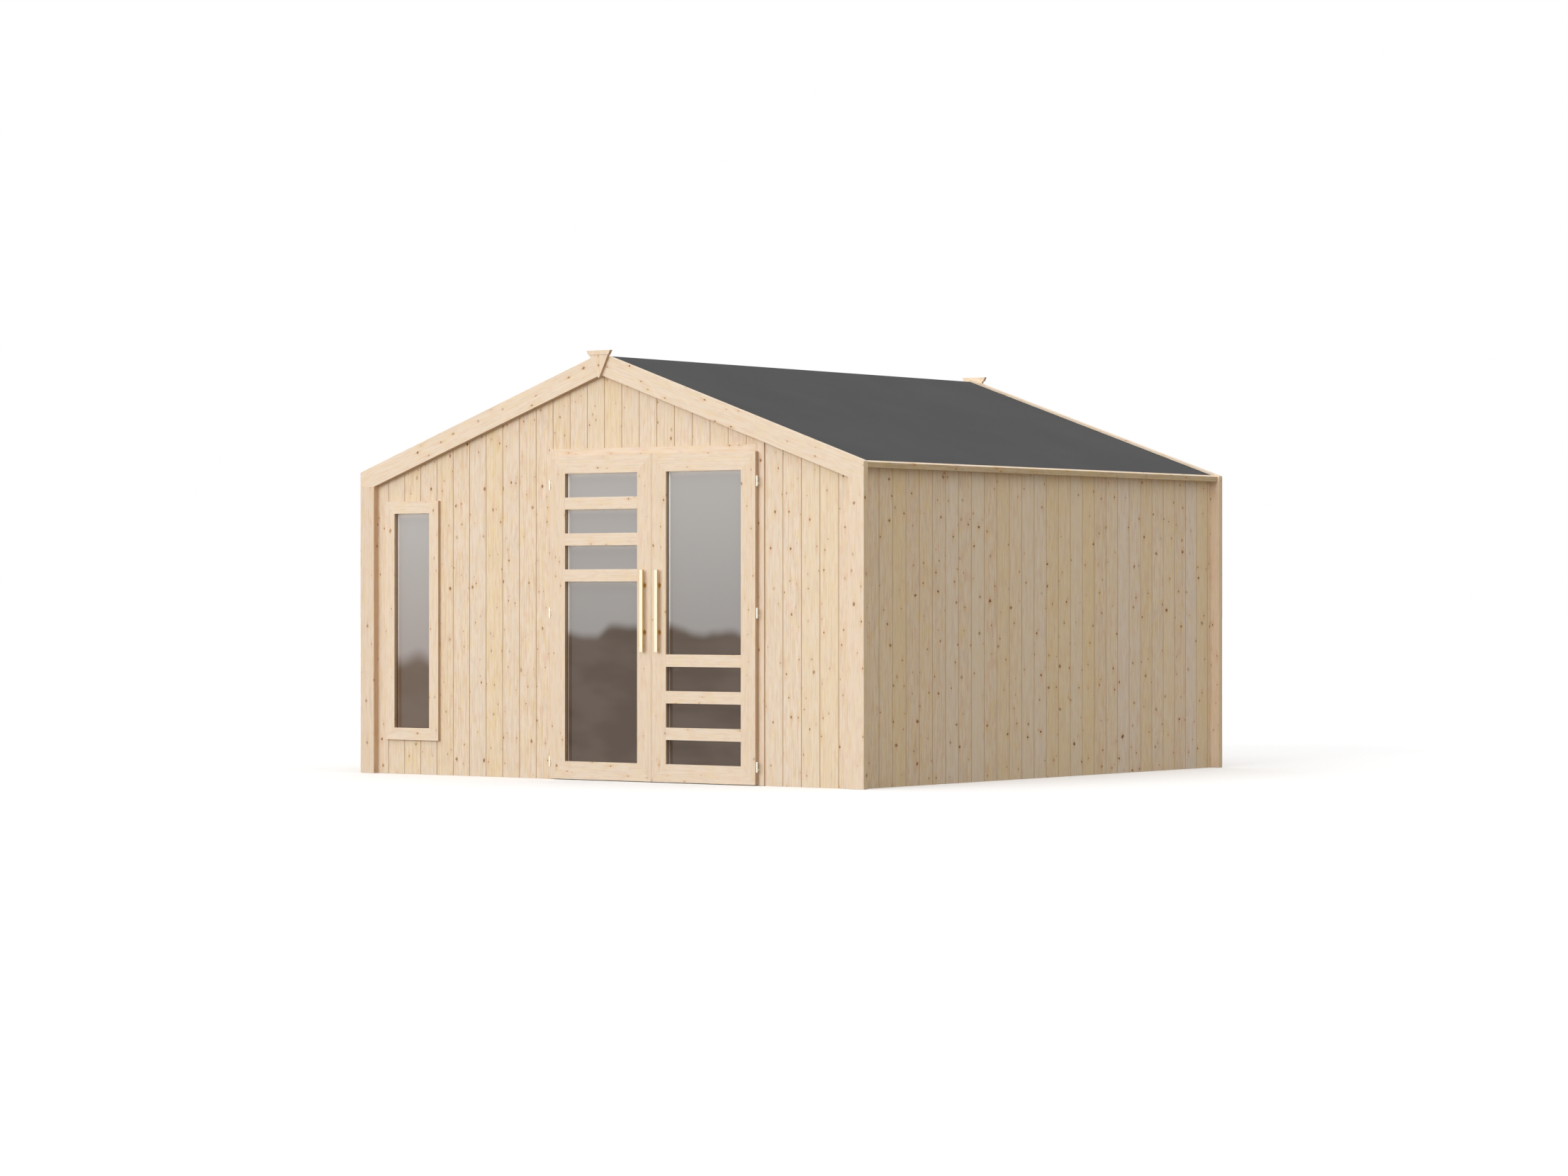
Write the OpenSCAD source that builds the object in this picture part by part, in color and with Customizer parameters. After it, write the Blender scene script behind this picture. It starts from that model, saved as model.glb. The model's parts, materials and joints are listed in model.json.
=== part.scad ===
// Wooden garden shed with a felted pitched roof, a narrow fixed window and a pair of glazed doors.
// Millimetres. +X runs right along the door wall, +Y runs into the shed, +Z is up.
// The origin is on the ground, under the middle of the whole shed's box.

/* [Shed] */
// Width over the corner boards
shed_w = 3600; // [3500:10:4400]
// Depth over the corner boards
shed_d = 3656; // [2900:10:4600]
// Height of the roof trim at the outer corners
eaves_h = 1740; // [1725:5:2000]
// Height of the roof trim at the ridge
ridge_h = 2370; // [2340:5:2700]
// Distance of the side walls inside the corner boards
side_inset = 53; // [40:1:80]
// Thickness of the wall boards
board_t = 16; // [12:1:22]

/* [Trim] */
// Thickness of the corner boards and barge boards
trim_t = 38; // [25:1:45]
// Width of the corner boards
corner_w = 104; // [80:1:140]
// Depth of the barge boards, measured plumb
barge_h = 120.5; // [90:0.5:130]
// Width of the eaves battens
batten_w = 27; // [20:1:35]
// Height of an eaves batten's outer face
batten_face_h = 29; // [20:1:40]
// Distance of the eaves battens inside the corner boards
batten_inset = 10; // [5:1:20]
// Height of the barge boards above the eaves battens
batten_drop = 8; // [4:1:12]

/* [Roof] */
// Thickness of the roof boards
roof_board_t = 16; // [12:1:22]
// Thickness of the roofing felt
felt_t = 3; // [2:0.5:5]
// Height of the barge boards above the felt, square to the roof
felt_drop = 12; // [8:1:15]
// Depth of the ridge beam
ridge_beam_h = 120; // [90:5:160]
// Depth of a purlin
purlin_h = 90; // [60:5:120]

/* [Frame] */
// Width of a stud
stud_w = 38; // [30:1:50]
// Depth of a stud, square to the wall
stud_d = 44; // [35:1:60]
// Height of the wall plates
plate_h = 38; // [30:1:50]
// Studs along each side wall
side_studs = 6; // [4:1:8]
// Distance of the purlins from the ridge, as a share of the half width
purlin_share = 0.48; // [0.4:0.01:0.56]

/* [Doorway] */
// Middle of the doorway from the middle of the shed
door_x = 362; // [250:1:380]
// Height of the header over the doorway
header_h = 60; // [50:1:65]
// Width of a door post's face
post_w = 57; // [50:1:70]
// Depth of a door post, square to the wall
post_d = 78; // [60:1:100]
// Distance of the door frame in front of the wall boards
post_proud = 9; // [4:1:15]

/* [Door leaves] */
// Width of one leaf
leaf_w = 715; // [600:1:730]
// Height of the top edge of the leaves
leaf_top = 1805; // [1650:5:1805]
// Gap between the leaves and the ground
ground_gap = 4; // [3:1:12]
// Gap between the two leaves
leaf_gap = 5; // [5:0.5:8]
// Thickness of a leaf
leaf_t = 42; // [40:1:48]
// Thickness of the lip that laps over the door frame
lip_t = 25; // [20:1:30]
// Overlap of the lip on the door frame
lip_lap = 20; // [10:1:26]
// Gap between a closed leaf and the door frame, behind and beside
frame_gap = 5; // [5:0.5:8]
// Slant of a leaf's meeting edge, from its face to its back
edge_bevel = 3; // [3:0.5:8]
// Width of the leaf stiles and rails
stile_w = 99; // [80:1:120]
// Width of the bars between the panes
bar_w = 68; // [40:1:80]
// Height of a small pane
pane_h = 132.5; // [100:0.5:160]
// Small panes in a leaf
small_panes = 3; // [1:1:4]

/* [Glazing] */
// Thickness of the leaf in front of the gasket
sight_t = 17.5; // [12:0.5:20]
// Width of the glazing rebate round a leaf's panes
rebate_w = 12; // [8:1:16]
// Thickness of the gasket
gasket_t = 13; // [6:0.5:13.5]
// Thickness of the panes
glass_t = 4; // [3:1:6]
// Width of a window bead
bead_w = 14; // [10:1:20]
// Depth of a window bead
bead_d = 12; // [8:1:18]
// Saw's cut between the ends of beads
bead_kerf = 1; // [0.5:0.5:2]

/* [Window] */
// Middle of the window from the left edge of the shed
window_in = 380; // [320:1:450]
// Width of the window opening
window_w = 266; // [200:1:400]
// Height of the bottom of the window opening
window_sill = 266; // [200:1:370]
// Height of the window opening
window_h = 1232; // [600:1:1340]
// Width of the window surround
surround_w = 70; // [50:1:100]
// Thickness of the window surround
surround_t = 19; // [12:1:25]
// Depth of the pane behind the wall's outer face
pane_setback = 11; // [4:1:11]

/* [Hinges and handles] */
// Diameter of a hinge barrel
barrel_d = 10; // [8:0.5:11]
// Diameter of a hinge pin
pin_d = 5; // [4:0.5:6]
// Diameter of the stems that carry the barrels
stem_d = 6; // [5:0.5:7]
// Length of a hinge
hinge_l = 57; // [40:1:90]
// Distance of the hinge axis from the leaf's edge
hinge_out = 11; // [11:0.5:14]
// Distance of the lowest hinge's middle from the leaf's bottom edge
hinge_low = 97; // [90:1:200]
// Distance of the middle hinge's middle from the leaf's bottom edge
hinge_mid = 928; // [800:1:1000]
// Distance of the highest hinge's middle from the leaf's top edge
hinge_high = 160; // [100:1:400]
// Length of a door handle
handle_l = 454; // [400:1:600]
// Width of a handle's bar
handle_w = 25; // [16:1:32]
// Depth of a handle's bar
handle_t = 11; // [8:1:16]
// Distance from the leaf to the front of the handle
handle_reach = 30; // [28:1:60]
// Height of the bottom of the handles
handle_z = 716; // [600:1:900]
// Height of the lower handle post above the handle's bottom
handle_post_low = 109; // [40:1:140]
// Distance between a handle's two posts
handle_post_gap = 258; // [150:1:300]
// Diameter of a handle post
handle_post_d = 13; // [10:1:18]
// Diameter of the round plate under a handle post
rose_d = 30; // [22:1:34]
// Thickness of the round plate
rose_t = 4; // [2:1:6]

/* [Finials] */
// Width of a finial across its top
finial_w = 170; // [120:2:220]
// Width of a finial's lowest point
finial_tip = 8; // [4:1:20]
// Height of a finial's top above the ridge trim
finial_up = 15; // [5:1:40]
// Height of a finial
finial_h = 151; // [100:1:220]
// Thickness of a finial
finial_t = 18; // [12:1:25]
// Height of a finial's top band
finial_band_h = 25; // [15:1:40]
// Distance of the band in front of the finial
finial_band_t = 3; // [1:0.5:6]
// Distance of the band beside the finial
finial_band_lap = 5; // [2:0.5:8]

/* [Hidden] */
$fn = 48;

pine = "#ecd7be";
pine_shade = "#dcc3a2";
felt_grey = "#595959";
glass_tint = "#b7b4b0";
gasket_black = "#17130f";
brass_gold = "#e8c987";

half_w = shed_w / 2;
slope = (ridge_h - eaves_h) / half_w;
pitch = atan(slope);
wall_x = half_w - side_inset;
wall_y = trim_t;
rear_y = shed_d - trim_t;
inner_x = wall_x - board_t;
inner_y = wall_y + board_t;
rear_inner_y = rear_y - board_t;
corner_in = half_w - corner_w;
seat_z = trim_top(corner_in) - barge_h;

// Plumb distance of each roof layer below the line of the roof trim
felt_top_drop = felt_drop / cos(pitch);
board_top_drop = (felt_drop + felt_t) / cos(pitch);
board_low_drop = (felt_drop + felt_t + roof_board_t) / cos(pitch);

batten_out = half_w - batten_inset;
batten_in = batten_out - batten_w;
batten_low = trim_top(batten_out) - batten_drop - batten_face_h;
purlin_x = half_w * purlin_share;

leaf_bottom = ground_gap;
leaf_h = leaf_top - leaf_bottom;
frame_face = wall_y - post_proud;
leaf_face = frame_face - frame_gap - lip_t;
left_leaf_x = door_x - leaf_gap / 2 - leaf_w;
right_leaf_x = door_x + leaf_gap / 2;
clear_left = left_leaf_x + lip_lap;
clear_right = right_leaf_x + leaf_w - lip_lap;
post_left = clear_left - post_w;
post_right = clear_right + post_w;
header_low = leaf_top - lip_lap;
header_top = header_low + header_h;
pane_w = leaf_w - 2 * stile_w;
glass_y = sight_t + gasket_t;
bead_y = glass_y + glass_t;
hinge_zs = [hinge_low, hinge_mid, leaf_h - hinge_high];

window_left = window_in - half_w - window_w / 2;
window_top = window_sill + window_h;

rear_reach = finial_t + finial_band_t;
front_reach = max(handle_reach - leaf_face, rear_reach);
origin_y = (shed_d + rear_reach - front_reach) / 2;

// Heights at a distance from the shed's middle
function trim_top(x) = ridge_h - slope * abs(x);
function under_boards(x) = trim_top(x) - board_low_drop;
function barge_low(x) = trim_top(x) - barge_h;

// Puts a drawing made from the front trim's face where the origin wants it
module place() {
    translate([0, -origin_y, 0])
        children();
}

// Extrudes an outline drawn in X and Z, from y0 towards the rear
module upright(y0, depth) {
    translate([0, y0 + depth, 0])
        rotate([90, 0, 0])
            linear_extrude(depth)
                children();
}

// A box between two opposite corners
module block(lo, hi) {
    translate(lo)
        cube(hi - lo);
}

// ---- Walls ----

module front_wall_left() {
    color(pine) place() upright(wall_y, board_t)
        difference() {
            polygon([
            [-wall_x, 0], [post_left, 0],
            [post_left, under_boards(post_left)], [-wall_x, under_boards(wall_x)]
        ]);
            translate([window_left, window_sill])
                square([window_w, window_h]);
        }
}

module front_wall_right() {
    color(pine) place() upright(wall_y, board_t)
        polygon([
            [post_right, 0], [wall_x, 0],
            [wall_x, under_boards(wall_x)], [post_right, under_boards(post_right)]
        ]);
}

// Boards over the doorway, notched round the tall right-hand door post
module front_wall_gable() {
    color(pine) place() upright(wall_y, board_t)
        polygon([
            [post_left, header_top], [clear_right, header_top], [clear_right, barge_low(clear_right)],
            [post_right, barge_low(post_right)], [post_right, under_boards(post_right)],
            [0, under_boards(0)], [post_left, under_boards(post_left)]
        ]);
}

module rear_wall() {
    color(pine) place() upright(rear_inner_y, board_t)
        polygon([
            [-wall_x, 0], [wall_x, 0], [wall_x, under_boards(wall_x)],
            [0, under_boards(0)], [-wall_x, under_boards(wall_x)]
        ]);
}

module side_wall(side) {
    color(pine) place() upright(inner_y, rear_inner_y - inner_y)
        polygon([
            [side * inner_x, 0], [side * wall_x, 0],
            [side * wall_x, under_boards(wall_x)], [side * inner_x, under_boards(inner_x)]
        ]);
}

module left_wall() {
    side_wall(-1);
}

module right_wall() {
    side_wall(1);
}

// ---- Wall framing ----

frame_x = inner_x - stud_d;
frame_y = inner_y + stud_d;
rear_frame_y = rear_inner_y - stud_d;
top_plate_low = under_boards(inner_x) - plate_h;
corner_stud_x = frame_x - stud_w / 2;

// Bottom and top plates along both side walls, the top ones bevelled under the roof
module side_plates() {
    color(pine_shade) place()
        for (side = [-1, 1])
            upright(inner_y, rear_inner_y - inner_y) {
                polygon([
                    [side * frame_x, 0], [side * inner_x, 0],
                    [side * inner_x, plate_h], [side * frame_x, plate_h]
                ]);
                polygon([
                    [side * frame_x, top_plate_low], [side * inner_x, top_plate_low],
                    [side * inner_x, under_boards(inner_x)], [side * frame_x, under_boards(frame_x)]
                ]);
            }
}

module side_wall_studs(side, count) {
    span = rear_inner_y - inner_y - stud_w;
    color(pine_shade) place()
        for (i = [0 : count - 1])
            translate([min(side * frame_x, side * inner_x), inner_y + span * i / (count - 1), plate_h])
                cube([stud_d, stud_w, top_plate_low - plate_h]);
}

module left_studs() {
    side_wall_studs(-1, side_studs);
}

module right_studs() {
    side_wall_studs(1, side_studs);
}

// Plates on the ground along the front and rear walls, between the side plates
module end_plates() {
    color(pine_shade) place() {
        block([-frame_x, rear_frame_y, 0], [frame_x, rear_inner_y, plate_h]);
        block([-frame_x, inner_y, 0], [post_left, frame_y, plate_h]);
        block([post_right, inner_y, 0], [frame_x, frame_y, plate_h]);
    }
}

// A stud at a distance from the middle, against the inside of an end wall, cut to the roof's slope
module end_stud(x, y, z) {
    low = x - stud_w / 2;
    high = x + stud_w / 2;
    upright(y, stud_d)
        polygon([[low, z], [high, z], [high, under_boards(high)], [low, under_boards(low)]]);
}

// A stud that carries the ridge beam or a purlin
module bearing_stud(x, y, z) {
    upright(y, stud_d)
        translate([x - stud_w / 2, z])
            square([stud_w, beam_low(x) - z]);
}

module rear_studs() {
    color(pine_shade) place()
        for (side = [-1, 1]) {
            end_stud(side * corner_stud_x, rear_frame_y, plate_h);
            end_stud(side * (corner_stud_x + purlin_x) / 2, rear_frame_y, plate_h);
            end_stud(side * purlin_x / 2, rear_frame_y, plate_h);
            bearing_stud(side * purlin_x, rear_frame_y, plate_h);
        }
    color(pine_shade) place()
        bearing_stud(0, rear_frame_y, plate_h);
}

// Studs at the corners, beside the window, and over the doorway under the beams
module front_studs() {
    color(pine_shade) place() {
        for (side = [-1, 1])
            end_stud(side * corner_stud_x, inner_y, plate_h);
        end_stud(window_left + window_w + bead_w + stud_w / 2, inner_y, plate_h);
        bearing_stud(-purlin_x, inner_y, plate_h);
        end_stud((post_left - purlin_x) / 2, inner_y, plate_h);
        bearing_stud(0, inner_y, header_top);
        bearing_stud(purlin_x, inner_y, header_top);
        end_stud((post_right + corner_stud_x) / 2, inner_y, plate_h);
    }
}

// ---- Roof ----

// Underside of the ridge beam or of a purlin
function beam_low(x) =
    x == 0 ? under_boards(0) - ridge_beam_h : under_boards(abs(x) + stud_d / 2) - purlin_h;

// The ridge beam and one purlin to a slope, their tops planed to the roof boards
module ridge_beam_and_purlins() {
    half = stud_d / 2;
    color(pine_shade) place()
        for (x = [-purlin_x, 0, purlin_x])
            upright(inner_y, rear_inner_y - inner_y)
                polygon([
                    [x - half, beam_low(x)], [x + half, beam_low(x)], [x + half, under_boards(x + half)],
                    [x, under_boards(x)], [x - half, under_boards(x - half)]
                ]);
}

// A sheet of one slope between two plumb drops below the roof trim
module roof_layer(side, top_drop, low_drop) {
    upright(trim_t, shed_d - 2 * trim_t)
        polygon([
            [0, ridge_h - top_drop], [side * batten_in, trim_top(batten_in) - top_drop],
            [side * batten_in, trim_top(batten_in) - low_drop], [0, ridge_h - low_drop]
        ]);
}

module roof_boards_left() {
    color(pine_shade) place() roof_layer(-1, board_top_drop, board_low_drop);
}

module roof_boards_right() {
    color(pine_shade) place() roof_layer(1, board_top_drop, board_low_drop);
}

module felt_left() {
    color(felt_grey) place() roof_layer(-1, felt_top_drop, board_top_drop);
}

module felt_right() {
    color(felt_grey) place() roof_layer(1, felt_top_drop, board_top_drop);
}

// ---- Roof and corner trim ----

// Half a gable: plumb cut at the ridge and the eaves, level seat on the corner board
module barge_pair(side) {
    color(pine) place()
        for (y = [0, rear_y])
            upright(y, trim_t)
                polygon([
                    [0, ridge_h], [side * half_w, eaves_h], [side * half_w, seat_z],
                    [side * corner_in, seat_z], [0, barge_low(0)]
                ]);
}

module barge_boards_left() {
    barge_pair(-1);
}

module barge_boards_right() {
    barge_pair(1);
}

module corner_boards() {
    color(pine) place()
        for (x = [-half_w, corner_in], y = [0, rear_y])
            translate([x, y, 0])
                cube([corner_w, trim_t, seat_z]);
}

// Battens over the ends of the roof boards, their tops planed to the roof's slope
module eaves_battens() {
    low = batten_low;
    color(pine) place()
        for (side = [-1, 1])
            upright(trim_t, shed_d - 2 * trim_t)
                polygon([
                    [side * batten_in, low], [side * batten_out, low],
                    [side * batten_out, low + batten_face_h],
                    [side * batten_in, low + batten_face_h + slope * batten_w]
                ]);
}

// Keystone boards, wide at the top and pointed at the foot, with a raised band across the head
module finials() {
    top = finial_w / 2;
    tip = finial_tip / 2;
    band_low = top - (top - tip) / finial_h * finial_band_h;
    shoulder = band_low - finial_band_lap;
    color(pine) place()
        for (y = [0, shed_d])
            translate([0, y, ridge_h + finial_up])
                mirror([0, y == 0 ? 0 : 1, 0]) {
                    upright(-finial_t - finial_band_t, finial_t + finial_band_t)
                        polygon([
                            [-top, 0], [top, 0],
                            [band_low, -finial_band_h], [-band_low, -finial_band_h]
                        ]);
                    upright(-finial_t, finial_t)
                        polygon([
                            [-shoulder, -finial_band_h], [shoulder, -finial_band_h],
                            [tip, -finial_h], [-tip, -finial_h]
                        ]);
                }
}

// ---- Door frame ----

// The left post stops at the header's top; the right one runs up to the barge board
module door_posts() {
    color(pine) place() {
        block([post_left, frame_face, 0], [clear_left, frame_face + post_d, header_top]);
        upright(frame_face, post_d)
            polygon([
                [clear_right, 0], [post_right, 0],
                [post_right, barge_low(post_right)], [clear_right, barge_low(clear_right)]
            ]);
    }
}

module door_header() {
    color(pine) place()
        block([clear_left, frame_face, header_low], [clear_right, frame_face + post_d, header_top]);
}

// ---- Window ----

// The two uprights of a frame, mitred at both ends, drawn in X and Z
module mitred_uprights(w, h, face) {
    for (side = [0, 1])
        translate([side * w, 0])
            mirror([side, 0])
                polygon([[0, 0], [face, face], [face, h - face], [0, h]]);
}

// The two level pieces of a frame, mitred to meet the uprights
module mitred_levels(w, h, face) {
    for (side = [0, 1])
        translate([0, side * h])
            mirror([0, side])
                polygon([[0, 0], [w, 0], [w - face, face], [face, face]]);
}

module on_window() {
    color(pine) place() upright(wall_y - surround_t, surround_t)
        translate([window_left - surround_w, window_sill - surround_w])
            children();
}

module window_surround_stiles() {
    on_window()
        mitred_uprights(window_w + 2 * surround_w, window_h + 2 * surround_w, surround_w);
}

module window_surround_rails() {
    on_window()
        mitred_levels(window_w + 2 * surround_w, window_h + 2 * surround_w, surround_w);
}

module window_glass() {
    color(glass_tint) place()
        block([window_left, wall_y + pane_setback, window_sill],
              [window_left + window_w, wall_y + pane_setback + glass_t, window_top]);
}

// Two uprights and two level strips round a rectangle, a saw's cut apart, drawn in X and Z
module strips(w, h, strip_w) {
    for (x = [0, w - strip_w])
        translate([x, 0])
            square([strip_w, h]);
    for (z = [0, h - strip_w])
        translate([strip_w + bead_kerf, z])
            square([w - 2 * (strip_w + bead_kerf), strip_w]);
}

module window_beads() {
    color(pine_shade) place() upright(wall_y + pane_setback + glass_t, bead_d)
        translate([window_left, window_sill])
            strips(window_w, window_h, bead_w);
}

// ---- Door leaves ----

// Puts a leaf where it hangs. It is drawn with its hinge edge at x = 0, its face at y = 0 and its
// bottom at z = 0, and the right-hand leaf (side 1) is the mirror image of the left-hand one (side -1)
module hung(side) {
    place()
        translate([side < 0 ? left_leaf_x : right_leaf_x + leaf_w, leaf_face, leaf_bottom])
            mirror([side < 0 ? 0 : 1, 0, 0])
                children();
}

// What is planed off the mitred frame of a leaf: the rebate for the glass, the step that leaves
// a lip over the door frame, and the slant that lets the meeting edges pass each other
module leaf_frame_cuts() {
    lap = lip_lap + frame_gap;
    opening = stile_w - rebate_w;
    translate([opening, sight_t, opening])
        cube([leaf_w - 2 * opening, leaf_t, leaf_h - 2 * opening]);
    translate([-1, lip_t, -1])
        cube([lap + 1, leaf_t, leaf_h + 2]);
    translate([-1, lip_t, leaf_h - lap])
        cube([leaf_w + 2, leaf_t, lap + 1]);
    translate([0, 0, -1])
        linear_extrude(leaf_h + 2)
            polygon([
                [leaf_w, 0], [leaf_w + 1, 0], [leaf_w + 1, leaf_t + 1],
                [leaf_w - edge_bevel, leaf_t + 1], [leaf_w - edge_bevel, leaf_t]
            ]);
}

module leaf_stiles(side) {
    color(pine) hung(side)
        difference() {
            upright(0, leaf_t)
                mitred_uprights(leaf_w, leaf_h, stile_w);
            leaf_frame_cuts();
        }
}

// Bars between the panes, counted from the top of the left-hand leaf and the bottom of the other
module bars(side, y, depth, inset) {
    for (i = [1 : small_panes]) {
        low = stile_w + i * (pane_h + bar_w) - bar_w;
        translate([stile_w - inset, y, side < 0 ? leaf_h - low - bar_w : low])
            cube([pane_w + 2 * inset, depth, bar_w]);
    }
}

module leaf_rails(side) {
    color(pine) hung(side) {
        difference() {
            upright(0, leaf_t)
                mitred_levels(leaf_w, leaf_h, stile_w);
            leaf_frame_cuts();
        }
        bars(side, 0, sight_t, 0);
    }
}

// Strips in the glazing rebate of a leaf
module rebate_strips(y, depth) {
    opening = stile_w - rebate_w;
    upright(y, depth)
        translate([opening, opening])
            strips(leaf_w - 2 * opening, leaf_h - 2 * opening, rebate_w);
}

// Black gasket in front of the glass, round the panes and behind the bars
module leaf_gasket(side) {
    color(gasket_black) hung(side) {
        rebate_strips(sight_t, gasket_t);
        bars(side, sight_t, gasket_t, -bead_kerf);
    }
}

// One sheet behind all the bars of a leaf
module leaf_glass(side) {
    opening = stile_w - rebate_w;
    color(glass_tint) hung(side)
        translate([opening, glass_y, opening])
            cube([leaf_w - 2 * opening, glass_t, leaf_h - 2 * opening]);
}

// Beads that hold the glass from inside, flush with the leaf's back, and the inner bars
module leaf_beads(side) {
    color(pine_shade) hung(side) {
        rebate_strips(bead_y, leaf_t - bead_y);
        bars(side, bead_y, leaf_t - bead_y, -bead_kerf);
    }
}

handle_x = leaf_w - stile_w / 2;

// The flat bar of a pull handle
module handle_bar(side) {
    color(brass_gold) hung(side)
        translate([handle_x - handle_w / 2, -handle_reach, handle_z - leaf_bottom])
            cube([handle_w, handle_t, handle_l]);
}

// The two round posts that carry a handle's bar, each on a round plate
module handle_posts(side) {
    low = handle_z - leaf_bottom + handle_post_low;
    color(brass_gold) hung(side)
        for (z = [low, low + handle_post_gap])
            translate([handle_x, 0, z])
                rotate([90, 0, 0]) {
                    cylinder(h = handle_reach - handle_t, d = handle_post_d);
                    cylinder(h = rose_t, d = rose_d);
                }
}

module left_leaf_stiles() {
    leaf_stiles(-1);
}

module left_leaf_rails() {
    leaf_rails(-1);
}

module left_leaf_gasket() {
    leaf_gasket(-1);
}

module left_leaf_glass() {
    leaf_glass(-1);
}

module left_leaf_beads() {
    leaf_beads(-1);
}

module left_handle_bar() {
    handle_bar(-1);
}

module left_handle_posts() {
    handle_posts(-1);
}

module right_leaf_stiles() {
    leaf_stiles(1);
}

module right_leaf_rails() {
    leaf_rails(1);
}

module right_leaf_gasket() {
    leaf_gasket(1);
}

module right_leaf_glass() {
    leaf_glass(1);
}

module right_leaf_beads() {
    leaf_beads(1);
}

module right_handle_bar() {
    handle_bar(1);
}

module right_handle_posts() {
    handle_posts(1);
}

// ---- Hinges ----

barrel_gap = 0.5;
barrel_l = (hinge_l - barrel_gap) / 2;
barrel_cap = 4;
pin_clearance = 0.05;
stem_slant = 30;

// A hinge's axis stands at the leaf's face, outside its hinge edge
module on_hinge_axes(side) {
    color(brass_gold) hung(side)
        for (z = hinge_zs)
            translate([-hinge_out, 0, z - hinge_l / 2])
                children();
}

// The lower half: a barrel with the pin standing in it, carried by a stem from the door post
module frame_half() {
    cylinder(h = barrel_l, d = barrel_d);
    cylinder(h = hinge_l - barrel_cap, d = pin_d);
    translate([0, 0, barrel_l / 2])
        rotate([-90, 0, 0])
            cylinder(h = frame_face - leaf_face, d = stem_d);
}

// The upper half: a barrel that drops over the pin, carried by a slanting stem from the leaf's edge
module leaf_half() {
    difference() {
        union() {
            translate([0, 0, hinge_l - barrel_l])
                cylinder(h = barrel_l, d = barrel_d);
            intersection() {
                translate([0, 0, hinge_l - barrel_l / 2])
                    rotate([0, 90, stem_slant])
                        cylinder(h = 2 * hinge_out, d = stem_d);
                translate([0, 0, hinge_l - barrel_l])
                    cube([hinge_out, lip_t, barrel_l]);
            }
        }
        cylinder(h = hinge_l - barrel_cap + barrel_gap, d = pin_d + 2 * pin_clearance);
    }
}

module frame_hinge_halves() {
    on_hinge_axes(-1)
        frame_half();
    on_hinge_axes(1)
        frame_half();
}

module left_hinge_halves() {
    on_hinge_axes(-1)
        leaf_half();
}

module right_hinge_halves() {
    on_hinge_axes(1)
        leaf_half();
}

front_wall_left();
front_wall_right();
front_wall_gable();
rear_wall();
left_wall();
right_wall();
front_studs();
rear_studs();
left_studs();
right_studs();
side_plates();
end_plates();
ridge_beam_and_purlins();
roof_boards_left();
roof_boards_right();
felt_left();
felt_right();
barge_boards_left();
barge_boards_right();
corner_boards();
eaves_battens();
finials();
door_posts();
door_header();
window_surround_stiles();
window_surround_rails();
window_glass();
window_beads();
left_leaf_stiles();
left_leaf_rails();
left_leaf_gasket();
left_leaf_glass();
left_leaf_beads();
left_handle_bar();
left_handle_posts();
right_leaf_stiles();
right_leaf_rails();
right_leaf_gasket();
right_leaf_glass();
right_leaf_beads();
right_handle_bar();
right_handle_posts();
frame_hinge_halves();
left_hinge_halves();
right_hinge_halves();
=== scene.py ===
# %% [markdown]
# # A wooden garden shed, dressed for its picture
# The shed arrives as a finished carpenter's model: every board sheet, post, leaf and hinge is in its
# place and at its size. What is still missing is what the eye looks for first: the joints between
# the boards, softened edges, grain and knots, dull felt, reflecting panes and pale brass.
# This lesson adds them one piece at a time.
#
# The model is loaded as a frame that stays as it is: its nodes can take a finish, or step aside for a
# softened copy, but they are never moved or cut.

# %% Load the carpenter's model
import json
import math
import bpy
import bmesh
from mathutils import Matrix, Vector

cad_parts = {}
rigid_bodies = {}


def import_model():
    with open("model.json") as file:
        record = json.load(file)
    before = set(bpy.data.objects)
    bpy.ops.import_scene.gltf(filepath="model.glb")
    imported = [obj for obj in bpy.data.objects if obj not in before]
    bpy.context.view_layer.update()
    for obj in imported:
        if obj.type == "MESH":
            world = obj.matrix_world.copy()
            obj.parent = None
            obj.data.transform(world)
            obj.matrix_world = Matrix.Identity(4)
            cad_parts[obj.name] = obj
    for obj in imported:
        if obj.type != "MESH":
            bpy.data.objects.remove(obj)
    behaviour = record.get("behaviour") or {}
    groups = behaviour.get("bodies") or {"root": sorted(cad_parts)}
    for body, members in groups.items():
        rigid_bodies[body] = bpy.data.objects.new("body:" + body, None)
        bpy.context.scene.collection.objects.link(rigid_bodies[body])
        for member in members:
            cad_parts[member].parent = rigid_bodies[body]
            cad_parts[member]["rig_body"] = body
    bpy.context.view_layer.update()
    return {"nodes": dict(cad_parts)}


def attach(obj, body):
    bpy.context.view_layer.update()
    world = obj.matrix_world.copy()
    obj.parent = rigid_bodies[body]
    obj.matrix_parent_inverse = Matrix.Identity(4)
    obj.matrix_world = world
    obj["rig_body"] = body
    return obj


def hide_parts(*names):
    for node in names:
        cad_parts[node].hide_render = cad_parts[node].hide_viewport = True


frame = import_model()
nodes = frame["nodes"]

# %% [markdown]
# The camera stands at eye level, well back and to the right of the doors, with a long lens. A long
# lens keeps upright edges upright, which is how a building is usually shown. The view is shifted
# up by a hair instead of tilting the camera, for the same reason.

# %% Camera
CAMERA_PLACE = (14.960, -20.0166, 1.0224)
LEVEL, TURN = math.radians(90), math.radians(36.955)
LENS, SENSOR, SHIFT_UP = 97.47, 36, 0.0053
FARTHEST_SEEN = 200

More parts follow.
